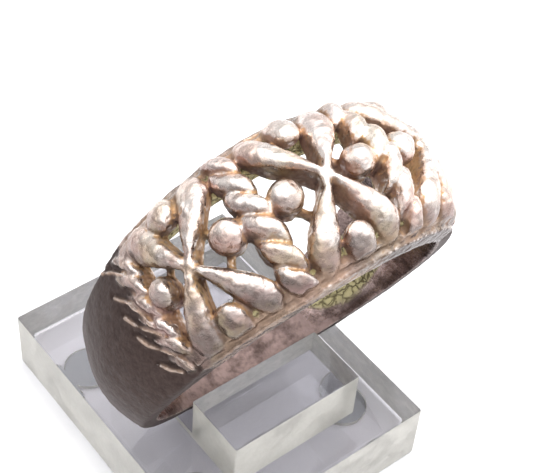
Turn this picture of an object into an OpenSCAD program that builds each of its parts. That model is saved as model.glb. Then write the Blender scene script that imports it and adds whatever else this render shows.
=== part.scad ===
/* [Finger hole] */
// Inside diameter of the ring, which is a US size 6 1/2
finger_d = 16.8; // [16:0.1:17.6]

/* [Pierced crown] */
// Radius of the crown's crest, from the axis of the finger hole
crest_r = 11.9; // [11.6:0.1:12.2]
// Width of the band at the top of the ring
crown_w = 8.3; // [8:0.1:8.8]
// Thickness of the pierced crown along its middle: its inside is hollowed between the rails
crown_t = 1.85; // [1.7:0.05:2.2]
// How much lower the crown is at its rims than at its crest
crown_drop = 1.6; // [1.3:0.1:1.8]
// Angle round the ring from one cross to the next
cell = 38.4; // [37.6:0.2:39.2]
// Width of the rail along each rim
rail_w = 0.75; // [0.6:0.05:0.9]
// Height of the rails above the finger hole
rail_h = 1.5; // [1.2:0.1:1.7]

/* [Crosses] */
// Reach of a petal along the band, from the cross's centre to its tip
petal_u = 2.55; // [2.4:0.05:2.7]
// Reach of a petal across the band, from the cross's centre to its tip
petal_y = 3.75; // [3.6:0.05:3.9]
// Widest width of a petal
petal_w = 1.75; // [1.5:0.05:1.9]
// Width of a petal where it meets the cross's centre
petal_neck = 0.34; // [0.25:0.01:0.45]

/* [Beads] */
// Diameter of the bead in each side gap of a cross
side_bead_d = 1.75; // [1.6:0.05:1.85]
// Distance of a side bead from the cross's centre
side_bead_u = 2.2; // [2.1:0.05:2.3]
// Diameter of the bead in each rim gap of a cross
rim_bead_d = 1.8; // [1.6:0.05:1.9]
// Distance of a rim bead from the cross's centre, as a part of half the band's width
rim_bead_s = 0.78; // [0.74:0.01:0.82]

/* [Twisted bars] */
// Width of a twisted bar
bar_w = 1.4; // [1.2:0.05:1.5]
// Number of strands that show along a twisted bar
strands = 6; // [5:1:7]
// Slant of a strand from the bar's own direction
strand_slant = 36; // [30:1:42]

/* [Shank] */
// Width of the band at the back of the ring
back_w = 3.4; // [3.2:0.1:3.8]
// Thickness of the band at the back of the ring
back_t = 1.3; // [1.1:0.1:1.5]
// Thickness of the band where the plain shank starts
shoulder_t = 1.8; // [1.6:0.1:2]
// Depth of the hollow cast inside each shoulder
hollow_depth = 0.45; // [0.3:0.05:0.6]

/* [Stand] */
// Width of the clear base plate
base_w = 15.4; // [14.6:0.2:16.2]
// Depth of the clear base plate, from front to back
base_d = 19.4; // [18.6:0.2:20.2]
// Thickness of the clear base plate
base_t = 4.2; // [3.6:0.2:4.8]
// Width of the clear upright block
block_w = 8.6; // [8:0.2:9]
// Depth of the clear upright block, from front to back
block_d = 12.6; // [12:0.2:13.2]
// Height of the upright block above the base plate
block_h = 3.4; // [3.2:0.1:3.6]
// How far in front of the base plate's middle the block stands
block_shift = 1.25; // [1:0.05:1.5]
// Width of the slot that the shank stands in
slot_w = 4.6; // [4.5:0.1:4.8]
// Depth of the slot
slot_depth = 2.9; // [2.8:0.05:3]
// How far the ring leans forward in its slot
lean = 18; // [17.5:0.5:18.5]

/* [Hidden] */

bore_r = finger_d / 2;
shoulder_r = bore_r + shoulder_t;
back_r = bore_r + back_t;
// The pierced crown ends at its outer twisted bars, on both sides of the top
crown_end = 1.5 * cell;
// The plain shank runs a little way into those bars
shank_lap = 2.7;
shank_start = crown_end + shank_lap;
// How quickly the band narrows towards the back, and how its crown rounds off to the rims
taper = 0.87;
roundness = 1.75;
// Radius at which lengths along the pattern are laid out
flat_r = 11.4;
// Depth that each standing shape starts below the finger hole's wall, before the hole is cut
root = 0.29;
floor_r = bore_r - root;
// Facet counts of the round shapes
ball_fn = 12;
stem_fn = 8;
bore_fn = 90;
// Play between the ring and the slot's floor
seat_gap = 0.12;

// Folds an angle round the ring into the range from 0 at the top to 180 at the back
function fold(a) = abs(((a + 180) % 360 + 360) % 360 - 180);
function degrees_of(u) = u / flat_r * 180 / PI;
function ease(t) = t * t * (3 - 2 * t);
function half_w(a) = (back_w + (crown_w - back_w) * pow((1 + cos(a)) / 2, taper)) / 2;
function crest_at_top(t) = crest_r * (1 - pow(t, 4)) + shoulder_r * pow(t, 4);
function crest_at_back(t) = shoulder_r * (1 - ease(t)) + back_r * ease(t);
// Radius of the band's outside along its middle
function crest(a) = fold(a) < crown_end
    ? crest_at_top(fold(a) / crown_end)
    : crest_at_back((fold(a) - crown_end) / (180 - crown_end));
function drop(a) = crown_drop * (crest(a) - bore_r) / (crest_r - bore_r);
// Radius of the band's outside at any place, with y measured along the ring's axis
function skin(a, y) = crest(a) - drop(a) * pow(min(1, abs(y) / half_w(a)), roundness);
function place(a, y, r) = [r * sin(a), y, r * cos(a)];

// A closed solid through rings of points, each ring in the same order and of the same length
module loft(rings) {
    n = len(rings[0]);
    m = len(rings);
    sides = [for (i = [0 : m - 2], j = [0 : n - 1])
        let (k = (j + 1) % n) [i * n + j, i * n + k, (i + 1) * n + k, (i + 1) * n + j]];
    start = [for (j = [n - 1 : -1 : 0]) j];
    end = [for (j = [0 : n - 1]) (m - 1) * n + j];
    polyhedron(points = [for (r = rings) each r], faces = concat(sides, [start, end]), convexity = 6);
}

// Section of a raised shape: half its width, the radii of its flanks' top and of its ridge
ARCH = [0, 42, 90, 138, 180];
function arch_section(half, flank_r, top_r) = concat(
    [[-half * 0.9, floor_r]],
    [for (t = ARCH) [-half * cos(t), flank_r + (top_r - flank_r) * sin(t)]],
    [[half * 0.9, floor_r]]);

// A raised shape along a straight line of the laid-out pattern, from a place on the ring.
// Each row of stations holds: distance along the line, half width, flank height and ridge height,
// both measured from the band's skin
module raised(a0, y0, dir, stations) {
    loft([for (row = stations)
        let (
            u = row[0] * dir[0],
            y = y0 + row[0] * dir[1],
            level = skin(a0 + degrees_of(u), y)
        )
        [for (q = arch_section(row[1], level + row[2], level + row[3]))
            place(a0 + degrees_of(u - q[0] * dir[1]), y + q[0] * dir[0], q[1])]]);
}

// Petal of a cross: along is 1 or -1 for its side of the cross, across is 1 for the far rim
module petal(a0, along, across) {
    reach = norm([petal_u, petal_y]);
    dir = [along * petal_u, across * petal_y] / reach;
    half = petal_w / 2;
    neck = petal_neck / 2;
    raised(a0, 0, dir, [
        [0.02 * reach, neck * 0.9, -0.5, -0.2],
        [0.12 * reach, neck, -0.5, -0.12],
        [0.34 * reach, half * 0.56, -0.6, 0.02],
        [0.56 * reach, half * 0.88, -0.7, 0.12],
        [0.74 * reach, half, -0.7, 0.16],
        [0.87 * reach, half * 0.9, -0.75, 0.06],
        [0.96 * reach, half * 0.6, -0.9, -0.22],
        [reach, half * 0.24, -1, -0.62]
    ]);
}

// Upright peg from inside the finger hole's wall to a radius
module peg(a, y, top_r, r) {
    rotate([0, a, 0]) translate([0, y, floor_r]) cylinder(h = top_r - floor_r, r = r, $fn = stem_fn);
}

// Bead on its stem, with its top near the band's skin
module bead(a, y, d, rise) {
    centre_r = skin(a, y) + rise - d / 2;
    rotate([0, a, 0]) translate([0, y, centre_r]) sphere(d = d, $fn = ball_fn);
    peg(a, y, centre_r, d * 0.4);
}

// Thin wall between two places of the pattern, which ties a bead to its neighbour
module web(a1, y1, a2, y2, top, r) {
    hull() {
        peg(a1, y1, skin(a1, y1) - top, r);
        peg(a2, y2, skin(a2, y2) - top, r);
    }
}

// Side bead of a cross with the webs to its bar and its two petals
module side_bead(a0, along) {
    a = a0 + along * degrees_of(side_bead_u);
    bar_a = a0 + along * (cell / 2 - degrees_of(bar_w * 0.35));
    petal_t = 0.4;
    bead(a, 0, side_bead_d, 0);
    web(a, 0, bar_a, 0, 1.1, 0.3);
    for (across = [-1, 1])
        web(a, 0, a0 + along * degrees_of(petal_u * petal_t), across * petal_y * petal_t, 1.2, 0.22);
}

module cross(a0) {
    peg(a0, 0, skin(a0, 0) - 0.14, 0.31);
    for (along = [-1, 1], across = [-1, 1])
        petal(a0, along, across);
    for (along = [-1, 1])
        side_bead(a0, along);
    for (across = [-1, 1])
        bead(a0, across * rim_bead_s * half_w(a0), rim_bead_d, 0.25);
}

// One leaf-shaped strand of a twisted bar
module strand(a0, y0, turn) {
    dir = [turn * sin(strand_slant), -cos(strand_slant)];
    long = bar_w / sin(strand_slant) * 0.53;
    fat = bar_w * 0.4;
    raised(a0, y0, dir, [
        [-long, fat * 0.3, -0.6, -0.4],
        [-long * 0.6, fat * 0.86, -0.55, -0.04],
        [0, fat, -0.5, 0.1],
        [long * 0.6, fat * 0.86, -0.55, -0.04],
        [long, fat * 0.3, -0.6, -0.4]
    ]);
}

// Twisted bar across the band; its strands turn one way left of the top and the other way right
module twisted_bar(a0, turn) {
    reach = half_w(a0);
    pitch = 2 * reach / strands;
    core = bar_w * 0.4;
    raised(a0, -reach, [0, 1], [for (i = [0 : 8])
        [i * reach / 4, core, -0.75, -0.3]]);
    for (i = [0 : strands - 1])
        strand(a0, -reach + pitch * (i + 0.5), turn);
}

// Rail along one rim of the pierced crown
module rail(side) {
    steps = 24;
    loft([for (i = [0 : steps])
        let (
            a = side * (shank_start + 1) * (1 - 2 * i / steps),
            outer = side * half_w(a),
            inner = side * (half_w(a) - rail_w),
            top = min(bore_r + rail_h, skin(a, outer)),
            edge = 0.18
        )
        [place(a, outer, floor_r), place(a, outer, top - edge), place(a, outer - side * edge, top),
            place(a, inner, top), place(a, inner, floor_r)]]);
}

// Room that the crown's pattern is trimmed to, so that nothing stands out past the rims
module rim_trim() {
    steps = 24;
    inset = 0.03;
    top = crest_r + 1;
    loft([for (i = [0 : steps])
        let (
            a = (crown_end + 8) * (1 - 2 * i / steps),
            y = half_w(a) - inset
        )
        [place(a, y, floor_r - 0.5), place(a, y, top), place(a, -y, top), place(a, -y, floor_r - 0.5)]]);
}

// Points of the plain shank's section, from the rim at -Y over the outside to the rim at +Y
SHANK_S = [-1, -0.985, -0.9, -0.72, -0.45, -0.15, 0.15, 0.45, 0.72, 0.9, 0.985, 1];
module shank() {
    steps = 44;
    edge = 0.2;
    loft([for (i = [0 : steps])
        let (a = shank_start + (360 - 2 * shank_start) * i / steps)
        concat(
            [place(a, -half_w(a), floor_r)],
            [for (s = SHANK_S) place(a, s * half_w(a), skin(a, s * half_w(a)) - (abs(s) == 1 ? edge : 0))],
            [place(a, half_w(a), floor_r)])]);
}

// Oval hollow cast inside a shoulder, cut a little way into the wall of the finger hole
module hollow(a) {
    rotate([0, a, 0]) translate([0, 0, bore_r]) resize([7, 3.2, 2 * hollow_depth + 0.8]) sphere(d = 4, $fn = 24);
}

// Room cut out of the crown's inside between its rails, so that the pattern is a thin shell
module crown_hollow() {
    half = 3;
    steps = 24;
    rotate([90, 0, 0]) linear_extrude(2 * half, center = true) polygon([
        for (i = [0 : steps])
            let (a = crown_end * (2 * i / steps - 1), r = max(floor_r, crest(a) - crown_t))
            [r * sin(a), r * cos(a)]]);
}

module ring_upright() {
    difference() {
        union() {
            intersection() {
                union() {
                    for (k = [-1 : 1])
                        cross(k * cell);
                    for (k = [-1.5 : 1 : 1.5])
                        twisted_bar(k * cell, sign(-k));
                }
                rim_trim();
            }
            for (side = [-1, 1])
                rail(side);
            shank();
        }
        rotate([90, 0, 0]) cylinder(r = bore_r, h = 2 * crown_w, center = true, $fn = bore_fn);
        crown_hollow();
        for (side = [-1, 1])
            hollow(side * 122);
    }
}

// Height of the ring's axis, so that the leaning shank just clears the slot's floor
slot_floor = base_t + block_h - slot_depth;
axis_z = slot_floor + seat_gap + back_r * cos(lean) + back_w / 2 * sin(lean);
// The shank's lowest stretch lies a little behind the middle of the slot
shank_shift = 0.35;
axis_y = shank_shift - block_shift - back_r * sin(lean);

module ring() {
    color("silver")
        translate([0, axis_y, axis_z]) rotate([lean, 0, 0]) ring_upright();
}

// Upright block with the slot that holds the shank
module stand_block() {
    color("lightblue", 0.4)
        translate([-block_w / 2, -block_shift, base_t])
            rotate([90, 0, 90]) linear_extrude(block_w) polygon([
                [-block_d / 2, 0], [block_d / 2, 0], [block_d / 2, block_h],
                [slot_w / 2, block_h], [slot_w / 2, block_h - slot_depth],
                [-slot_w / 2, block_h - slot_depth], [-slot_w / 2, block_h], [-block_d / 2, block_h]]);
}

module stand_base() {
    color("lightcyan", 0.4)
        translate([-base_w / 2, -base_d / 2, 0]) cube([base_w, base_d, base_t]);
}

ring();
stand_block();
stand_base();
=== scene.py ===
# Cutout cross ring in cast silver, leaning in its clear stand.
import math
import random
from functools import partial

import bmesh
import bpy
import numpy as np
from mathutils import Matrix, Vector, noise
from mathutils.bvhtree import BVHTree


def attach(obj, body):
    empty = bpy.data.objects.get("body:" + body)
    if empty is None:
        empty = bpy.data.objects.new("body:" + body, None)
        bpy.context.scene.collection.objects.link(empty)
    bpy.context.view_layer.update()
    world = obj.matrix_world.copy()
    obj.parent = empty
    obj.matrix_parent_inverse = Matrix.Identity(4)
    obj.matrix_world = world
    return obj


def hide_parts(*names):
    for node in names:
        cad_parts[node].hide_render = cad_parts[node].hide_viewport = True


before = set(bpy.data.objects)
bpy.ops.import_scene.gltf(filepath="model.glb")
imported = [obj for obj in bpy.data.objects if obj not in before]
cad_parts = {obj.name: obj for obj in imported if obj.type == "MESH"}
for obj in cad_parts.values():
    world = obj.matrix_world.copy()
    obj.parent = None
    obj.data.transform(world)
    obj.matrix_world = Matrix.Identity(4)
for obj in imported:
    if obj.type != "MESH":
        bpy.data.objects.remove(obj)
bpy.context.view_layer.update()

# Sizes in millimetres, as in the part's source
BORE_R = 8.4
CREST_R = 11.9
SHOULDER_R = 10.2
BACK_R = 9.7
CROWN_W = 8.3
BACK_W = 3.4
CROWN_DROP = 1.6
ROUNDNESS = 1.75
TAPER = 0.87
FLAT_R = 11.4
CELL = 38.4
CROWN_END = 1.5 * CELL
SHANK_START = CROWN_END + 0.9
PETAL_U, PETAL_Y = 2.55, 3.75
SIDE_BEAD_U = 2.2
SIDE_BEAD_D, RIM_BEAD_D = 1.75, 1.8
# Distance of a rim bead from the cross's centre, as a part of half the band's width
RIM_BEAD_S = 0.78
BAR_W = 1.4
STRANDS = 6
# Slant of the strands in the bars left and right of the top
STRAND_SLANTS = (math.radians(31), math.radians(40))
# Thickness of the crown's shell along its middle, and how far its hollow reaches to the front and to the back
CROWN_T, HOLLOW_FRONT, HOLLOW_BACK = 1.85, 3.0, 2.35
# Rails, as parts of half the band's width, height above the finger hole and round edge:
# a ledge and a curb along the near rim, then along the far rim
RAILS = ((-1, -0.8, 1.12, 0.1), (-0.91, -0.74, 1.5, 0.14), (0.8, 1, 1.12, 0.1), (0.57, 0.91, 1.6, 0.14))
# How far inside the rims the pattern ends
LEDGE = 0.28
# Strokes engraved where the outer bars' strands run into the shank: angle from the top, and place across
STROKES = (
    ((65.9, 3.31), (61.2, 2.84), (57.4, 2.23)),
    ((64.5, 1.78), (59.5, 0.88), (58.1, -0.02), (57.4, -0.65)),
    ((64.1, 0.63), (62.3, -0.04), (57.0, -1.34)),
    ((64.3, -0.45), (63.4, -1.11), (58.7, -2.19), (56.5, -3.3)),
    ((64.8, -2.14), (63.4, -2.58), (60.9, -3.02)),
)
# Angles between which the strokes lie, and the radius that turns their angles into lengths
STROKES_FROM, STROKES_TO, STROKE_R = 55, 67.5, 10.1
# Oval hollows inside the shoulders: angle, half length, half width, depth
SHOULDER_HOLLOW = (122, 3.5, 1.6, 0.45)
# Direction that the painted shade takes as lit: points facing it are painted lightest, in the upright ring
LIT_SIDE = (0.62, 0.50, 0.605)
LEAN = math.radians(18)
AXIS_Y, AXIS_Z = -3.8975, 14.5706
BASE = (15.4, 19.4, 4.2)
BLOCK = (8.6, 12.6, 3.4)
BLOCK_SHIFT = 1.25
SLOT_W, SLOT_DEPTH = 4.6, 2.9
# The foot of each raised shape reaches this deep, and stops at the band's inside when it is bent on
FOOT = 5.0
# Grain at which the shapes run together, and the share of the faces that is then kept
GRAIN, KEPT_FACES = 0.088, 0.52
# Angle from the top past which the casting is smoother
SMOOTH_FROM = 62
# Unevenness of a hand-finished surface: height, waves in a millimetre, and where the waves start
RIPPLES = ((0.05, 1.1, (0, 0, 0)), (0.035, 2.6, (9, 2, 5)), (0.02, 5.2, (0, 0, 0)))
# Shelter is felt out with this many rays, up to this far
FEELERS, FEEL = 12, 2.2
# A point that stands this far out from its neighbours is on a sharp edge
SHARP = 0.015
# Round pads under the base plate: places, radius, thickness, and the play in their pockets
PAD_X, PAD_Y, PAD_R, PAD_T, PAD_PLAY = 5.4, 5.5, 1.42, 0.36, 0.04

dice = random.Random(7)


def clamp(value):
    return min(1, max(0, value))


# The band's form, as the part's source draws it
def fold(a):
    return abs((a + 180) % 360 - 180)


def half_w(a):
    return (BACK_W + (CROWN_W - BACK_W) * ((1 + math.cos(math.radians(a))) / 2) ** TAPER) / 2


def crest(a):
    f = fold(a)
    if f < CROWN_END:
        t = (f / CROWN_END) ** 4
        return CREST_R * (1 - t) + SHOULDER_R * t
    t = (f - CROWN_END) / (180 - CROWN_END)
    t = t * t * (3 - 2 * t)
    return SHOULDER_R * (1 - t) + BACK_R * t


def skin(a, y):
    drop = CROWN_DROP * (crest(a) - BORE_R) / (CREST_R - BORE_R)
    return crest(a) - drop * min(1, abs(y) / half_w(a)) ** ROUNDNESS


def degrees_of(u):
    return math.degrees(u / FLAT_R)


def in_hollow(a, y):
    """How far inside a shoulder's oval hollow a place is: 1 in its middle, 0 at its edge and outside."""
    at, long, half, _ = SHOULDER_HOLLOW
    return max(0, 1 - (math.radians(fold(a) - at) * BORE_R / long) ** 2 - (y / half) ** 2)


def inner(a, y):
    """Radius of the band's inside: finger hole, hollow under the crown, hollows in the shoulders."""
    if fold(a) < CROWN_END:
        reach = HOLLOW_FRONT if y < 0 else HOLLOW_BACK
        side = clamp((reach + 0.12 - abs(y)) / 0.24)
        return BORE_R + side * max(0, crest(a) - CROWN_T - BORE_R)
    return BORE_R + SHOULDER_HOLLOW[3] * math.sqrt(in_hollow(a, y))


def stroke_at(a, y):
    """Height of the engraved strokes at a place, and how much of their bright raised edge is there."""
    f = fold(a)
    if not STROKES_FROM < f < STROKES_TO:
        return 0, 0
    off, side = 9, 1
    for line in STROKES:
        for (a1, y1), (a2, y2) in zip(line, line[1:]):
            ux, uy = math.radians(a1 - f) * STROKE_R, y - y1
            dx, dy = math.radians(a1 - a2) * STROKE_R, y2 - y1
            t = clamp((ux * dx + uy * dy) / (dx * dx + dy * dy))
            away = math.hypot(ux - t * dx, uy - t * dy)
            if away < off:
                off, side = away, math.copysign(1, dx * uy - dy * ux)
    uneven = noise.noise((f * 0.35, y * 1.6, 3.0))
    thick = 0.072 * (1 + 0.6 * uneven)
    ridge = clamp(0.95 + uneven) * math.exp(-((off / thick) ** 2))
    groove = math.exp(-(((off * side - 0.2) / 0.1) ** 2))
    return 0.1 * ridge - 0.08 * groove, ridge


def on_ring(a, y, r):
    a = math.radians(a)
    return Vector((r * math.sin(a), y, r * math.cos(a)))


# Small helpers for work by hand
def deselect():
    if bpy.context.object and bpy.context.object.mode != "OBJECT":
        bpy.ops.object.mode_set(mode="OBJECT")
    bpy.ops.object.select_all(action="DESELECT")


def take(*pieces):
    """Selects these pieces alone, the first of them active."""
    deselect()
    for piece in pieces:
        piece.select_set(True)
    bpy.context.view_layer.objects.active = pieces[0]


def named(name):
    piece = bpy.context.object
    piece.name = piece.data.name = name
    return piece


def settle(piece):
    """Puts the object's turn, size and place into its mesh."""
    take(piece)
    bpy.ops.object.transform_apply(location=True, rotation=True, scale=True)


def pick(piece, test, kind="verts"):
    """In edit mode, selects the points, edges or faces that pass the test, and nothing else."""
    bpy.ops.mesh.select_all(action="DESELECT")
    bpy.ops.mesh.select_mode(type={"verts": "VERT", "edges": "EDGE", "faces": "FACE"}[kind])
    mesh = bmesh.from_edit_mesh(piece.data)
    for part in getattr(mesh, kind):
        part.select_set(bool(test(part)))
    if kind == "verts":
        mesh.select_flush(True)
    bmesh.update_edit_mesh(piece.data)


def finish_modifiers(piece):
    take(piece)
    for modifier in list(piece.modifiers):
        bpy.ops.object.modifier_apply(modifier=modifier.name)


def copy_of(piece, name):
    twin = piece.copy()
    twin.data = piece.data.copy()
    twin.name = twin.data.name = name
    bpy.context.collection.objects.link(twin)
    return twin


# Raised shapes, modelled flat on the bench: X along the shape, Z above the band's skin
def drawn_out(name, rows, sides=20):
    """A domed shape on a straight foot, drawn out along X row by row.

    Each row holds the distance along the shape, half its width, the top of its flanks and its ridge.
    """
    x, half, flank, ridge = rows[0]
    bpy.ops.mesh.primitive_circle_add(
        vertices=sides, radius=1, fill_type="NGON", location=(x, 0, 0), rotation=(0, math.pi / 2, 0)
    )
    piece = named(name)
    settle(piece)
    bpy.ops.object.mode_set(mode="EDIT")
    pick(piece, lambda v: v.co.z < -0.01)
    bpy.ops.transform.resize(value=(1, 1, 0), center_override=(x, 0, 0))
    bpy.ops.transform.translate(value=(0, 0, -FOOT))
    bpy.ops.mesh.select_all(action="SELECT")
    bpy.ops.transform.resize(value=(1, half, 1), center_override=(x, 0, 0))
    pick(piece, lambda v: v.co.z > -0.01)
    bpy.ops.transform.resize(value=(1, 1, ridge - flank), center_override=(x, 0, 0))
    bpy.ops.transform.translate(value=(0, 0, flank))
    pick(piece, lambda f: True, "faces")
    for row in rows[1:]:
        bpy.ops.mesh.extrude_region_move(TRANSFORM_OT_translate={"value": (row[0] - x, 0, 0)})
        bpy.ops.transform.resize(value=(1, row[1] / half, 1), center_override=(row[0], 0, 0))
        here = row[0]
        pick(piece, lambda v: abs(v.co.x - here) < 1e-4 and v.co.z > -FOOT + 0.5)
        bpy.ops.transform.resize(
            value=(1, 1, (row[3] - row[2]) / (ridge - flank)), center_override=(here, 0, flank)
        )
        bpy.ops.transform.translate(value=(0, 0, row[2] - flank))
        pick(piece, lambda f: all(abs(v.co.x - here) < 1e-4 for v in f.verts), "faces")
        x, half, flank, ridge = row
    bpy.ops.mesh.select_all(action="SELECT")
    bpy.ops.mesh.normals_make_consistent(inside=False)
    bpy.ops.object.mode_set(mode="OBJECT")
    return piece


def rounded(piece):
    """Rounds a bench shape off with a subdivision surface."""
    smoother = piece.modifiers.new("rounded", "SUBSURF")
    smoother.levels = smoother.render_levels = 1
    finish_modifiers(piece)
    return piece


def bead_on_stem(name, d):
    bpy.ops.mesh.primitive_uv_sphere_add(segments=24, ring_count=16, radius=d / 2, location=(0, 0, -d / 2))
    ball = named(name)
    settle(ball)
    bpy.ops.mesh.primitive_cylinder_add(
        vertices=24, radius=d * 0.4, depth=FOOT, location=(0, 0, -d / 2 - FOOT / 2)
    )
    stem = named(name + "_stem")
    settle(stem)
    bpy.ops.object.mode_set(mode="EDIT")
    pick(stem, lambda e: all(v.co.z < -FOOT for v in e.verts), "edges")
    bpy.ops.transform.resize(value=(1.15, 1.15, 1), center_override=(0, 0, -d / 2 - FOOT))
    bpy.ops.object.mode_set(mode="OBJECT")
    take(ball, stem)
    bpy.ops.object.join()
    return ball


# Reach of a petal from the cross's centre
REACH = math.hypot(PETAL_U, PETAL_Y)
petal_form = rounded(drawn_out("petal_form", [
    (-0.03 * REACH, 0.17, -0.50, -0.10),
    (0.10 * REACH, 0.23, -0.50, -0.06),
    (0.24 * REACH, 0.37, -0.56, -0.01),
    (0.40 * REACH, 0.59, -0.64, 0.05),
    (0.56 * REACH, 0.79, -0.72, 0.13),
    (0.70 * REACH, 0.90, -0.75, 0.17),
    (0.82 * REACH, 0.89, -0.78, 0.13),
    (0.91 * REACH, 0.76, -0.84, -0.02),
    (0.97 * REACH, 0.53, -0.92, -0.26),
    (1.00 * REACH, 0.24, -1.0, -0.62),
]))
# Half the length and half the width of a strand
LONG, FAT = BAR_W * 0.935, BAR_W * 0.40
strand_form = rounded(drawn_out("strand_form", [
    (-LONG * 1.12, FAT * 0.10, -0.85, -0.66),
    (-LONG * 0.86, FAT * 0.50, -0.74, -0.30),
    (-LONG * 0.48, FAT * 0.95, -0.64, 0.04),
    (0.0, FAT * 1.10, -0.60, 0.14),
    (LONG * 0.48, FAT * 0.95, -0.64, 0.04),
    (LONG * 0.86, FAT * 0.50, -0.74, -0.30),
    (LONG * 1.12, FAT * 0.10, -0.85, -0.66),
]))
# Each strand is drawn into a slight S as the bar is twisted
for v in strand_form.data.vertices:
    v.co.y += 0.11 * math.sin(math.pi * v.co.x / LONG)
side_bead_form = bead_on_stem("side_bead_form", SIDE_BEAD_D)
rim_bead_form = bead_on_stem("rim_bead_form", RIM_BEAD_D)
bench = [petal_form, strand_form, side_bead_form, rim_bead_form]
crown_parts = []


# Laying the shapes on the ring
def bend_onto(piece, a0, trim=True, level="skin"):
    """Bends a bench shape round the ring: X runs along the band from angle a0, Z is height above the skin."""
    for v in piece.data.vertices:
        u, y, h = v.co
        a = a0 + degrees_of(u)
        if trim:
            limit = half_w(a) - LEDGE
            y = max(-limit, min(limit, y))
        r = min(BORE_R + h, skin(a, y)) if level == "bore" else skin(a, y) + h
        v.co = on_ring(a, y, max(r, inner(a, y)))
    piece.data.update()
    return piece


def lay(form, name, a0, u=0.0, y=0.0, turn=0.0, size=(1, 1, 1), rise=0.0):
    """Copies a bench shape to a place on the crown, turned in the band's plane."""
    piece = copy_of(form, name)
    piece.data.transform(
        Matrix.Translation((u, y, rise)) @ Matrix.Rotation(turn, 4, "Z") @ Matrix.Diagonal((*size, 1))
    )
    crown_parts.append(bend_onto(piece, a0))


def worn(spread=0.05):
    """A little more or less than one, as hand work varies."""
    return 1 + dice.uniform(-spread, spread)


def web(name, a0, start, end, top, half):
    """Thin wall between two places of a cross, which ties a bead to its neighbour."""
    du, dy = end[0] - start[0], end[1] - start[1]
    long = math.hypot(du, dy)
    form = drawn_out(name + "_form", [
        (-half, half * 0.5, -top - 0.2, -top - 0.05),
        (0, half, -top - 0.25, -top),
        (long / 2, half * 0.9, -top - 0.35, -top - 0.12),
        (long, half, -top - 0.25, -top),
        (long + half, half * 0.5, -top - 0.2, -top - 0.05),
    ], sides=12)
    lay(form, name, a0, start[0], start[1], math.atan2(dy, du))
    bpy.data.objects.remove(form)


def make_cross(a0, label):
    for along in (-1, 1):
        # The petals that point away from the top are stouter on the outer crosses
        stout, lift = (1.16, 0.05) if along * a0 > 0 else (1, 0)
        for across in (-1, 1):
            lay(petal_form, f"petal_{label}", a0, turn=math.atan2(across * PETAL_Y, along * PETAL_U),
                size=(worn(0.015), stout * worn(0.04), 1), rise=lift + dice.uniform(-0.05, 0.03))
        u = along * SIDE_BEAD_U
        lay(side_bead_form, f"side_bead_{label}", a0, u, 0.08, dice.uniform(0, 6), (worn(), worn(), 1), 0.12)
        bar_u = along * (math.radians(CELL / 2) * FLAT_R - BAR_W * 0.35)
        web(f"bar_web_{label}", a0, (u, 0), (bar_u, 0), 1.0, 0.32)
        for across in (-1, 1):
            web(f"petal_web_{label}", a0, (u, 0), (along * PETAL_U * 0.4, across * PETAL_Y * 0.4), 1.1, 0.24)
    bpy.ops.mesh.primitive_uv_sphere_add(segments=24, ring_count=12, radius=0.42, location=(0, 0, -0.5))
    knot = named(f"knot_{label}")
    settle(knot)
    crown_parts.append(bend_onto(knot, a0))
    for across in (-1, 1):
        lay(rim_bead_form, f"rim_bead_{label}", a0, 0, across * RIM_BEAD_S * half_w(a0), dice.uniform(0, 6),
            (worn(), worn(), 1), 0.25)


def make_bar(a0, turn, label):
    """Twisted bar: leaf-shaped strands over a narrow core."""
    reach = half_w(a0)
    core = drawn_out("core_form", [
        (-reach + i * reach / 6, BAR_W * 0.40, -0.85, -0.45) for i in range(13)
    ], sides=12)
    lay(core, f"bar_core_{label}", a0, turn=math.pi / 2)
    bpy.data.objects.remove(core)
    pitch = 2 * reach / STRANDS
    # The outer bars' strands are longer and run out over the shank
    long, rise = (1.3, 0.13) if abs(a0) > CELL else (1, 0)
    slant = STRAND_SLANTS[a0 > 0]
    for i in range(STRANDS):
        lay(strand_form, f"strand_{label}", a0, 0, -reach + pitch * (i + 0.5),
            math.atan2(-math.cos(slant), turn * math.sin(slant)),
            (long * worn(0.03), worn(0.04), 1), rise + dice.uniform(-0.04, 0.03))


def band_slab(name, a_from, a_to, low, high, depth, height, cuts, level, edge):
    """A strip of the band between two angles: low and high are its sides as parts of half the band's width."""
    # Half the band's width while the strip is on the bench
    flat_w = 3.0
    long = math.radians(a_to - a_from) * FLAT_R
    bpy.ops.mesh.primitive_cube_add(size=1, location=(0, (low + high) / 2 * flat_w, (height - depth) / 2))
    piece = named(name)
    piece.scale = (long, (high - low) * flat_w, height + depth)
    settle(piece)
    bpy.ops.object.mode_set(mode="EDIT")
    # The long edges that show are rounded, then the strip gets the points that bending needs
    pick(piece, lambda e: all(v.co.z > 0 or level == "skin" and v.co.z > -1 for v in e.verts)
         and abs(e.verts[0].co.x - e.verts[1].co.x) > 1, "edges")
    bpy.ops.mesh.bevel(offset=edge, segments=3)
    pick(piece, lambda e: abs(e.verts[0].co.x - e.verts[1].co.x) > 1, "edges")
    bpy.ops.mesh.subdivide(number_cuts=cuts)
    pick(piece, lambda e: abs(e.verts[0].co.y - e.verts[1].co.y) > 0.6 * (high - low) * flat_w, "edges")
    bpy.ops.mesh.subdivide(number_cuts=9)
    bpy.ops.object.mode_set(mode="OBJECT")
    middle = (a_from + a_to) / 2
    for v in piece.data.vertices:
        v.co.y *= half_w(middle + degrees_of(v.co.x)) / flat_w
    return bend_onto(piece, middle, trim=False, level=level)


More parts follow.
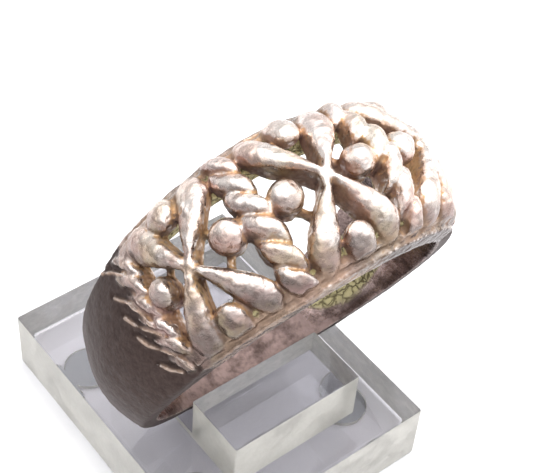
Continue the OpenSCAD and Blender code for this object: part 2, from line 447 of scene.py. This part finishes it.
for k in (-1, 0, 1):
    make_cross(k * CELL, k + 1)
for k in (-1.5, -0.5, 0.5, 1.5):
    make_bar(k * CELL, -math.copysign(1, k), int(k + 1.5))
for low, high, top, edge in RAILS:
    crown_parts.append(band_slab(
        "rail", -SHANK_START - 1, SHANK_START + 1, low, high, depth=1, height=top, cuts=90, level="bore", edge=edge))
crown_parts.append(band_slab(
    "shank", SHANK_START, 360 - SHANK_START, -1, 1, depth=FOOT, height=0, cuts=160, level="skin", edge=0.16))
for form in bench:
    bpy.data.objects.remove(form)

# The casting: every shape runs into its neighbours
take(*crown_parts)
bpy.ops.object.join()
ring = named("silver_ring")


def cast_together(piece, grain):
    """Runs overlapping shapes into one skin, as molten silver fills the mould."""
    fuse = piece.modifiers.new("fuse", "REMESH")
    fuse.mode = "VOXEL"
    fuse.voxel_size = grain
    finish_modifiers(piece)


def cut_away(piece, cutter):
    cut = piece.modifiers.new("cut", "BOOLEAN")
    cut.operation = "DIFFERENCE"
    cut.solver = "EXACT"
    cut.object = cutter
    finish_modifiers(piece)
    bpy.data.objects.remove(cutter)


cast_together(ring, GRAIN)
soften = ring.modifiers.new("soften", "SMOOTH")
soften.factor = 0.5
soften.iterations = 1
finish_modifiers(ring)


def read_mesh(piece):
    """Every point of a mesh with its normal, read at once because a move makes the normals stale."""
    found = []
    for name in ("co", "normal"):
        flat = np.empty(3 * len(piece.data.vertices), np.float32)
        piece.data.vertices.foreach_get(name, flat)
        found.append(flat.reshape(-1, 3))
    return found


def ring_place(point):
    """Angle, place across the band and radius of a point."""
    return math.degrees(math.atan2(point[0], point[2])), float(point[1]), math.hypot(point[0], point[2])


def hand_wear(piece):
    """Moves the surface in and out a little, as hand finishing leaves it, and cuts the strokes."""
    points, normals = read_mesh(piece)
    shifts = np.zeros(len(points), np.float32)
    for i, point in enumerate(points):
        a, y, r = ring_place(point)
        if r < BORE_R + 0.3:
            continue
        at = Vector(point.tolist())
        amount = 0.4 if fold(a) > SMOOTH_FROM else 1
        shifts[i] = amount * sum(
            height * noise.noise(at * waves + Vector(start)) for height, waves, start in RIPPLES)
        if r > skin(a, y) - 0.5:
            shifts[i] += stroke_at(a, y)[0]
    piece.data.vertices.foreach_set("co", (points + normals * shifts[:, None]).ravel())
    piece.data.update()


hand_wear(ring)


def edge_sharpness(piece, points, normals):
    """How sharply each point stands out from its neighbours, from 0 for flat or hollow to 1 for an edge."""
    ends = np.empty(2 * len(piece.data.edges), np.int32)
    piece.data.edges.foreach_get("vertices", ends)
    ends = ends.reshape(-1, 2)
    count = np.bincount(ends.ravel(), minlength=len(points))[:, None]

    def around(values):
        total = np.zeros_like(values)
        np.add.at(total, ends[:, 0], values[ends[:, 1]])
        np.add.at(total, ends[:, 1], values[ends[:, 0]])
        return total / count

    out = ((points - around(points)) * normals).sum(axis=1, keepdims=True)
    return np.clip((around(out) + out) / 2 / SHARP, 0, 1)[:, 0]


def mark_wear(piece):
    """Writes what the material needs to know at each point, three things in each attribute.

    wear: how sheltered it is, how sharp an edge, how much plain shank. cast: the inside, rough cast skin, a stroke.
    tone: painted shade, darker where a point faces away from the light and low at the front and on the left; the
    ledge outside a rail; the painted shadow on the near rim's side face.
    """
    mesh = piece.data
    points, normals = read_mesh(piece)
    edges = edge_sharpness(piece, points, normals)
    tree = BVHTree.FromPolygons([v.co[:] for v in mesh.vertices], [p.vertices[:] for p in mesh.polygons])
    rays = []
    for i in range(FEELERS):
        up = 1 - (i + 0.5) / FEELERS * 0.85
        # The golden angle spreads the rays evenly
        turn = i * 2.39996
        flat = math.sqrt(1 - up * up)
        rays.append((flat * math.cos(turn), flat * math.sin(turn), up))
    # How far each point faces the light that the painted shade assumes
    light_facing = normals @ np.array(LIT_SIDE, np.float32)
    wear, cast, tone = (np.ones((len(points), 4), np.float32) for _ in range(3))
    for i in range(len(points)):
        n = Vector(normals[i].tolist())
        point = Vector(points[i].tolist())
        side = n.orthogonal()
        other = n.cross(side)
        # The rays start clear of the surface, and what is near shelters more than what is far
        start = point + n * 0.04
        shelter = 0.0
        for fx, fy, fz in rays:
            found = tree.ray_cast(start, side * fx + other * fy + n * fz, FEEL)[3]
            if found is not None:
                shelter += 1 - 0.6 * found / FEEL
        a, y, r = ring_place(point)
        f, top, across = fold(a), skin(a, y), y / half_w(a)
        facing = (n.x * point.x + n.z * point.z) / r

        # The shank starts earlier at the rims, and raised strands stay brighter than what they run over
        early = 0.5 + 3 * clamp((abs(across) - 0.7) / 0.3)
        shank = clamp((f - CROWN_END + early) / 1.2) if r > top - 0.9 else 0
        shank *= 1 - 0.6 * clamp((r - top - 0.03) / 0.12)
        wear[i, :3] = shelter / FEELERS, edges[i], shank

        # The crown's underside and the hollows in the shoulders keep their rough cast skin
        inside = clamp((inner(a, y) + 0.25 - r) / 0.2) if facing < -0.5 else 0
        under_crown = f < CROWN_END - 6 and BORE_R + 0.15 < r < crest(a) - CROWN_T + 0.1 and abs(y) < 3.3
        rough = max(inside * min(1, 5 * in_hollow(a, y)), 1 if under_crown else 0)
        cast[i, :3] = inside, rough, stroke_at(a, y)[1] if r > top - 0.5 else 0

        # Painted shade: the tone is darker where a point faces away from the light, and low at the front and on the
        # left
        patterned = f < CROWN_END + 1
        rim = clamp((abs(across) - 0.74) / 0.06) * patterned * (1 - inside)
        ledge = rim * clamp((top - 0.25 - r) / 0.2)
        # On the right half the near rim's side face gets a painted shadow
        side_shadow = rim * clamp((abs(n.y) - 0.6) / 0.2) * (abs(across) > 0.94) * clamp(a / 12)
        rightwards = math.sin(math.radians(a))
        low = clamp((-across - 0.5) / 0.4) * patterned * 0.29 * (1 + 0.5 * max(0, -rightwards))
        low -= (0.03 if a > 0 else 0.16) * rightwards
        tone[i, :3] = clamp(0.46 - light_facing[i] / 2 + low), ledge, side_shadow
    for name, values in (("wear", wear), ("cast", cast), ("tone", tone)):
        mesh.color_attributes.new(name, "FLOAT_COLOR", "POINT").data.foreach_set("color", values.ravel())


mark_wear(ring)
# Flat places need fewer faces than the small forms do
thin = ring.modifiers.new("thin", "DECIMATE")
thin.ratio = KEPT_FACES
finish_modifiers(ring)
ring.data.transform(
    Matrix.Scale(0.001, 4) @ Matrix.Translation((0, AXIS_Y, AXIS_Z)) @ Matrix.Rotation(LEAN, 4, "X")
)
for polygon in ring.data.polygons:
    polygon.use_smooth = True


# Clear stand
def acrylic_block(name, size, centre):
    bpy.ops.mesh.primitive_cube_add(size=1, location=[c * 0.001 for c in centre])
    piece = named(name)
    piece.scale = [s * 0.001 for s in size]
    settle(piece)
    return piece


def polish_edges(piece, width):
    """Breaks the sharp edges, as a polished acrylic block has them."""
    edges = piece.modifiers.new("edges", "BEVEL")
    edges.width = width * 0.001
    edges.segments = 3
    edges.limit_method = "ANGLE"
    finish_modifiers(piece)


base = acrylic_block("clear_base", BASE, (0, 0, BASE[2] / 2))
polish_edges(base, 0.18)
# Round pads are let into its underside near the corners
pads = []
for x in (-PAD_X, PAD_X):
    for y in (-PAD_Y, PAD_Y):
        bpy.ops.mesh.primitive_cylinder_add(
            vertices=64, radius=(PAD_R + PAD_PLAY) * 0.001, depth=(PAD_T + PAD_PLAY) * 0.002,
            location=(x * 0.001, y * 0.001, 0))
        pocket = named("pad_pocket")
        settle(pocket)
        cut_away(base, pocket)
        bpy.ops.mesh.primitive_cylinder_add(
            vertices=64, radius=PAD_R * 0.001, depth=PAD_T * 0.001,
            location=(x * 0.001, y * 0.001, (PAD_T / 2 + 0.01) * 0.001))
        pad = named("pad")
        settle(pad)
        polish_edges(pad, 0.08)
        pads.append(pad)
take(*pads)
bpy.ops.object.join()
pads = named("clear_pads")
block = acrylic_block("clear_block", BLOCK, (0, -BLOCK_SHIFT, BASE[2] + BLOCK[2] / 2))
slot_cut = acrylic_block(
    "slot_cut", (BLOCK[0] + 2, SLOT_W, SLOT_DEPTH * 2), (0, -BLOCK_SHIFT, BASE[2] + BLOCK[2])
)
cut_away(block, slot_cut)
polish_edges(block, 0.12)
for piece in (base, block):
    # The faces are polished, the sides are left as sawn
    sawn = piece.data.attributes.new("sawn", "FLOAT", "FACE")
    for polygon, mark in zip(piece.data.polygons, sawn.data):
        mark.value = abs(polygon.normal.z) < 0.3


# Materials
def linear(hex_colour):
    """An sRGB colour, given as a hex value, in the linear numbers that a shader takes."""
    channels = [int(hex_colour[i:i + 2], 16) / 255 for i in (1, 3, 5)]
    return [c / 12.92 if c <= 0.04045 else ((c + 0.055) / 1.055) ** 2.4 for c in channels] + [1]


def per_mm(size):
    """Scale of a pattern whose features are this many millimetres across."""
    return 1000 / size


def node(tree, kind, inputs=(), out=0, **settings):
    """Adds a node with its settings and links, and gives one of its outputs, or the node itself if out is None.

    Inputs go by place or by name. Each takes a socket to link, a number, or a colour as a hex value.
    """
    made = tree.nodes.new("ShaderNode" + kind)
    for key, value in settings.items():
        setattr(made, key, value)
    for key, value in inputs.items() if isinstance(inputs, dict) else enumerate(inputs):
        if isinstance(value, bpy.types.NodeSocket):
            tree.links.new(value, made.inputs[key])
        else:
            made.inputs[key].default_value = linear(value) if isinstance(value, str) else value
    return made if out is None else made.outputs[out]


def new_material(name):
    """An empty material, and the function above bound to its nodes."""
    material = bpy.data.materials.new(name)
    material.use_nodes = True
    material.node_tree.nodes.clear()
    return material, partial(node, material.node_tree)


def worn_silver():
    """Sterling silver, lost-wax cast: satin and warm where fingers rub it, toned tan to brown in its recesses, with
    painted shade, painted highlights along its edges and a painted dark reflection on its shank.
    """
    material, add = new_material("worn_cast_sterling_silver")
    coords = add("TexCoord", out="Object")
    (recess, edge, shank), (inside, cast_skin, stroke), (painted_shade, ledge, side_shadow) = (
        add("SeparateColor", (add("VertexColor", layer_name=name),), out=None).outputs
        for name in ("wear", "cast", "tone")
    )
    # Tarnish gathers in patches of 1.6 mm, and its film in patches of 2.6 mm. Casting pits are about 0.05 mm
    # across and are drawn at 0.25 mm, so that they show
    cloud = add("TexNoise", {"Vector": coords, "Scale": per_mm(1.6), "Detail": 5, "Roughness": 0.62})
    fine = add("TexNoise", {"Vector": coords, "Scale": per_mm(0.25), "Detail": 4, "Roughness": 0.65})
    film = add("TexNoise", {"Vector": coords, "Scale": per_mm(2.6), "Detail": 4, "Roughness": 0.6})
    # File marks leave facets of 0.55 mm
    facets = add("TexVoronoi", {"Vector": coords, "Scale": per_mm(0.55), "Smoothness": 0.6, "Randomness": 1},
                 feature="SMOOTH_F1")
    # Cracks run 0.62 mm apart and wander, so their cells are read at places that are shaken by up to 0.7 mm
    shake = add("TexNoise", {"Vector": coords, "Scale": per_mm(0.5), "Detail": 3}, out="Color")
    shaken = add("VectorMath", (shake, [0.0007] * 3, coords), operation="MULTIPLY_ADD")
    cracks = add("TexVoronoi", {"Vector": shaken, "Scale": per_mm(0.62), "Randomness": 1},
                 feature="DISTANCE_TO_EDGE")

    # Tarnish is left alone where nothing rubs it; dark adds painted shade, on the side turned away from the light,
    # to patches of tarnish
    uneven = add("Math", (fine, 0.3, -0.4), operation="MULTIPLY_ADD")
    uneven = add("Math", (cloud, 0.5, uneven), operation="MULTIPLY_ADD")
    shelter = add("Math", (recess, uneven), operation="ADD")
    shelter = add("Math", (edge, -0.5, shelter), operation="MULTIPLY_ADD")
    dark = add("Math", (uneven, 0.6, painted_shade), operation="MULTIPLY_ADD")
    streaks = add("Math", (fine, 0.25, cloud), operation="MULTIPLY_ADD")
    torn = add("Math", (uneven, 0.35, cracks), operation="MULTIPLY_ADD")

    # Each ramp: what it follows, from where to where, and its own value at both ends where that isn't 0 and 1
    ramps = {
        "drift": (cloud, 0.35, 0.65),
        "tan": (shelter, 0.14, 0.38),
        "brown": (shelter, 0.38, 0.68),
        "grey": (dark, 0.32, 0.68, 0, 0.8),
        "black": (dark, 0.72, 1, 0, 0.7),
        "edge_in_shade": (dark, 0.55, 0.95, 0, 0.8),
        "rose": (film, 0.5, 0.68, 0, 0.2),
        "straw": (film, 0.5, 0.34, 0, 0.2),
        "bright_edge": (edge, 0.4, 0.9, 0, 0.75),
        "shank": (fine, 0.3, 0.7),
        "streaks": (streaks, 0.475, 0.785),
        "crack": (torn, 0, 0.12),
        "crack_depth": (cracks, 0, 0.2),
        "metal": (shelter, 0.18, 0.5, 1, 0.6),
        "roughness": (shelter, 0.05, 0.5, 0.16, 0.6),
    }
    for name, values in ramps.items():
        ramps[name] = add("MapRange", values, interpolation_type="SMOOTHSTEP")

    # Each of these colours drifts between two tones
    tones = {
        "top": (ramps["drift"], "#fbf2ea", "#e8d2c3"),
        # Grey is the colour of painted shade mixed with tarnish
        "grey": (ramps["drift"], "#5a4a45", "#877069"),
        "ledge": (ramps["drift"], "#6f5a4a", "#a58d78"),
        # Painted shadow on the near rim's side face
        "side_shadow": (fine, "#352b27", "#5f4f48"),
        # The plain shank's dark brown is partly its own tone and partly a painted dark reflection
        "shank": (ramps["shank"], "#3f3431", "#4c403c"),
        "inside": (ramps["streaks"], "#a8938e", "#5f504c"),
        "cast_skin": (fine, "#b0a679", "#dcd3a8"),
    }
    for name, (share, first, second) in tones.items():
        tones[name] = add("Mix", {0: share, 6: first, 7: second}, out=2, data_type="RGBA")

    outside = add("Math", (1, inside), operation="SUBTRACT")
    dull = add("Math", (inside, stroke), operation="MAXIMUM")
    dull = add("Math", (dull, ramps["edge_in_shade"]), operation="MAXIMUM")
    polished = add("Math", (1, dull), operation="SUBTRACT")
    # Coats from the bare tops outwards: how much each covers, and its colour
    colour = tones["top"]
    for share, coat in (
        (ramps["tan"], "#cda57c"),
        (ramps["brown"], "#6f4f36"),
        # Painted shade over tarnish patches: grey, then black, where a point faces away from the light, at the front
        # and on the left
        (ramps["grey"], tones["grey"]),
        (ramps["black"], "#4d403b"),
        # A thin tarnish film shows rose in some places and straw in others
        (ramps["rose"], "#d3a9a6"),
        (ramps["straw"], "#cfc08f"),
        (add("Math", (ledge, 0.65), operation="MULTIPLY"), tones["ledge"]),
        (side_shadow, tones["side_shadow"]),
        (add("Math", (shank, outside), operation="MULTIPLY"), tones["shank"]),
        (add("Math", (stroke, 0.8), operation="MULTIPLY"), "#b79c88"),
        (inside, tones["inside"]),
        # Edges are rubbed bright, and the bright edge also paints a highlight along them
        (add("Math", (ramps["bright_edge"], polished), operation="MULTIPLY"), "#f3e8e0"),
        (cast_skin, add("Mix", {0: ramps["crack"], 6: "#655c40", 7: tones["cast_skin"]}, out=2, data_type="RGBA")),
    ):
        colour = add("Mix", {0: share, 6: colour, 7: coat}, out=2, data_type="RGBA")

    # Tarnish covers the metal with a skin that doesn't shine
    metal = add("Math", (cast_skin, -0.6, 1), operation="MULTIPLY_ADD")
    metal = add("Math", (metal, ramps["metal"]), operation="MINIMUM")
    rough = add("Math", (fine, 0.2, ramps["roughness"]), operation="MULTIPLY_ADD")
    for place, least in ((cast_skin, 0.75), (shank, 0.55)):
        least = add("Math", (place, least), operation="MULTIPLY")
        rough = add("Math", (rough, least), operation="MAXIMUM")

    # Dents of the hand-finished shapes, which the shank and the inside hardly have, then pits, then the cracks
    calm = add("Math", (shank, inside), operation="MAXIMUM")
    calm = add("Math", (calm, -0.85, 1), operation="MULTIPLY_ADD")
    dents = add("Math", (cloud, 0.7), operation="MULTIPLY")
    dents = add("Math", (facets, 0.9, dents), operation="MULTIPLY_ADD")
    dents = add("Math", (dents, calm), operation="MULTIPLY")
    flaws = add("Math", (ramps["crack_depth"], cast_skin), operation="MULTIPLY")
    relief = add("Bump", {"Height": dents, "Strength": 0.75, "Distance": 0.00018})
    relief = add("Bump", {"Height": fine, "Strength": 0.6, "Distance": 0.00006, "Normal": relief})
    relief = add("Bump", {"Height": flaws, "Strength": 0.8, "Distance": 0.00015, "Normal": relief})
    surface = add("BsdfPrincipled", {
        "Base Color": colour, "Metallic": metal, "Roughness": rough, "Normal": relief,
    })
    add("OutputMaterial", (surface,), out=None)
    return material


def clear_acrylic():
    """Cast acrylic sheet: clear, faintly cool, with fine handling marks, and milky and matt where it was sawn."""
    material, add = new_material("polished_clear_acrylic")
    coords = add("TexCoord", out="Object")
    # Fingers leave smears of about 2 mm
    smear = add("TexNoise", {"Vector": coords, "Scale": per_mm(2.2), "Detail": 5, "Roughness": 0.65})
    # Marks of the saw's teeth are about 0.1 mm apart and are drawn at 0.35 mm, so that they show
    grit = add("TexNoise", {"Vector": coords, "Scale": per_mm(0.35), "Detail": 4, "Roughness": 0.7})
    sawn = add("Attribute", out="Fac", attribute_name="sawn")
    milky = add("Mix", {0: grit, 6: "#c9c7be", 7: "#e6e4dc"}, out=2, data_type="RGBA")
    colour = add("Mix", {0: sawn, 6: "#ecebef", 7: milky}, out=2, data_type="RGBA")
    haze = add("MapRange", (smear, 0.35, 0.65, 0.35, 0.7), interpolation_type="SMOOTHSTEP")
    haze = add("Math", (sawn, haze), operation="MULTIPLY")
    clear = add("Math", (1, haze), operation="SUBTRACT")
    polished = add("MapRange", (smear, 0.45, 0.75, 0, 0.09), interpolation_type="SMOOTHSTEP")
    matt = add("Math", (sawn, 0.45), operation="MULTIPLY")
    rough = add("Math", (polished, matt), operation="MAXIMUM")
    scuffs = add("Math", (grit, sawn), operation="MULTIPLY")
    scuffs = add("Bump", {"Height": scuffs, "Strength": 0.4, "Distance": 0.00006})
    surface = add("BsdfPrincipled", {
        "Base Color": colour, "Transmission Weight": clear, "IOR": 1.49, "Roughness": rough, "Normal": scuffs,
    })
    add("OutputMaterial", (surface,), out=None)
    return material


def clear_silicone():
    """Moulded silicone pad: soft, faintly milky in patches of 0.6 mm, with a matt skin."""
    material, add = new_material("milky_clear_silicone")
    haze = add("TexNoise", {
        "Vector": add("TexCoord", out="Object"), "Scale": per_mm(0.6), "Detail": 3, "Roughness": 0.6})
    colour = add("Mix", {0: haze, 6: "#eef0f0", 7: "#dfe3e4"}, out=2, data_type="RGBA")
    rough = add("MapRange", (haze, 0.3, 0.7, 0.3, 0.5), interpolation_type="SMOOTHSTEP")
    surface = add("BsdfPrincipled", {
        "Base Color": colour, "Transmission Weight": 0.7, "IOR": 1.41, "Roughness": rough,
    })
    add("OutputMaterial", (surface,), out=None)
    return material


silver = worn_silver()
rubber = clear_silicone()
acrylic = clear_acrylic()
for piece, material, cad_name, slot in (
    (ring, silver, "ring", "silver"),
    (block, acrylic, "stand_block", "clear_acrylic"),
    (base, acrylic, "stand_base", "clear_acrylic"),
    (pads, rubber, None, "clear_acrylic"),
):
    piece.data.materials.clear()
    piece.data.materials.append(material)
    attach(piece, "root")
    if cad_name:
        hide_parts(cad_name)


# Studio
def pale_floor():
    """Matt white paper sweep, whose fibres of about 0.1 mm are drawn at 1.5 mm, so that they show."""
    material, add = new_material("matt_white_paper")
    fibre = add("TexNoise", {
        "Vector": add("TexCoord", out="Object"), "Scale": per_mm(1.5), "Detail": 4, "Roughness": 0.6})
    colour = add("Mix", {0: fibre, 6: "#f4f4f5", 7: "#fbfbfb"}, out=2, data_type="RGBA")
    surface = add("BsdfPrincipled", {"Base Color": colour, "Roughness": 0.9})
    add("OutputMaterial", (surface,), out=None)
    return material


deselect()
bpy.ops.mesh.primitive_plane_add(size=1.2, location=(0, 0, -0.00005))
floor = named("floor")
floor.data.materials.append(pale_floor())

# A pale room, brightest overhead and a little to the right and the front
world = bpy.data.worlds.new("studio")
bpy.context.scene.world = world
world.use_nodes = True
room = world.node_tree
towards = node(room, "VectorMath", (
    node(room, "TexCoord", out="Generated"), Vector((0.2, -0.2, 0.95)).normalized(),
), out="Value", operation="DOT_PRODUCT")
glow = node(room, "MapRange", (towards, 0.1, 0.95, 0.77, 2.35), interpolation_type="SMOOTHSTEP")
room.nodes["Background"].inputs["Color"].default_value = linear("#efeff2")
room.links.new(glow, room.nodes["Background"].inputs["Strength"])

look_at = Vector((0, AXIS_Y * 0.001, AXIS_Z * 0.001))

# One soft lamp overhead, a little to the right
lamp_data = bpy.data.lights.new("overhead", "AREA")
lamp_data.shape = "SQUARE"
lamp_data.size = 0.05
lamp_data.energy = 0.06
lamp_data.color = linear("#fff6ee")[:3]
lamp = bpy.data.objects.new("overhead", lamp_data)
bpy.context.collection.objects.link(lamp)
way = Vector((0.2, 0.0, 1.0)).normalized()
lamp.location = look_at + way * 0.16
lamp.rotation_euler = way.to_track_quat("Z", "Y").to_euler()

# Camera at the photograph's place, fitted from the ring's rims, crosses and beads
camera_data = bpy.data.cameras.new("camera")
camera = bpy.data.objects.new("camera", camera_data)
bpy.context.collection.objects.link(camera)
bpy.context.scene.camera = camera
right = Vector((0.79013, -0.61063, 0.05309))
up = Vector((0.43020, 0.61418, 0.66160))
back = Vector((-0.43660, -0.49991, 0.74798))
DISTANCE = 0.07289
# Width of the photograph and focal length, in pixels
PHOTO_W, FOCAL = 533, 1400.0
# The photograph's middle lies this many pixels above the point that the fit looks at, and to its right
MIDDLE_UP, MIDDLE_RIGHT = 49.6, 1.08
middle = (back * FOCAL - up * MIDDLE_UP - right * MIDDLE_RIGHT).normalized()
side_way = (right - middle * right.dot(middle)).normalized()
turned = Matrix((side_way, middle.cross(side_way), middle)).transposed()
camera.matrix_world = Matrix.Translation(look_at + back * DISTANCE) @ turned.to_4x4()
camera_data.sensor_width = 36
camera_data.lens = FOCAL / PHOTO_W * camera_data.sensor_width
camera_data.clip_start = 0.001
camera_data.clip_end = 10

bpy.context.scene.view_settings.view_transform = "Standard"
